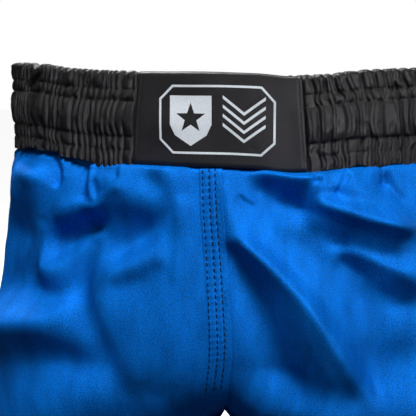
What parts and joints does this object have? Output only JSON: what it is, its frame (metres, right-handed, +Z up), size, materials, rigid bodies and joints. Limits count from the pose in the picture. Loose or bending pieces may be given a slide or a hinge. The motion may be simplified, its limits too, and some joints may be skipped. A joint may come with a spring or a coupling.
{
  "type": "boxing shorts",
  "caption": "Boxing shorts of satin with a wide gathered elastic waistband, a flat stiffened front patch, felled seams, loose legs and side vents, held open as worn.",
  "frame": {"origin": "centre of the waist opening, in the plane of the waistband's top edge", "axes": "+Z up, out of the waist opening; -Y the front; +X the wearer's left, along the widest extent"},
  "size_m": [0.5332, 0.1982, 0.49],
  "materials": {
    "satin_black": "satin",
    "satin_blue": "satin",
    "lining_black": "matte",
    "stiffener": "matte",
    "elastic_knit": "matte",
    "print_white": "matte",
    "thread_black": "satin",
    "thread_navy": "satin",
    "label_white": "satin"
  },
  "bodies": {
    "root": {"front_patch_face": "satin_black", "front_patch_stiffener": "stiffener", "front_patch_lining": "lining_black", "emblem_print": "print_white", "waistband_casing": "satin_black", "waistband_elastic": "elastic_knit", "shirring_stitches": "thread_black", "patch_edge_stitches": "thread_black", "waist_seam_overlock": "thread_black", "size_label": "label_white", "front_left_panel": "satin_blue", "front_right_panel": "satin_blue", "back_left_panel": "satin_blue", "back_right_panel": "satin_blue", "crotch_gusset": "satin_blue", "centre_front_stitches": "thread_navy", "centre_back_stitches": "thread_navy", "left_side_stitches": "thread_navy", "right_side_stitches": "thread_navy", "left_inseam_stitches": "thread_navy", "right_inseam_stitches": "thread_navy", "left_hem_stitches": "thread_navy", "right_hem_stitches": "thread_navy", "left_vent_bartack": "thread_navy", "right_vent_bartack": "thread_navy"}
  },
  "joints": []
}
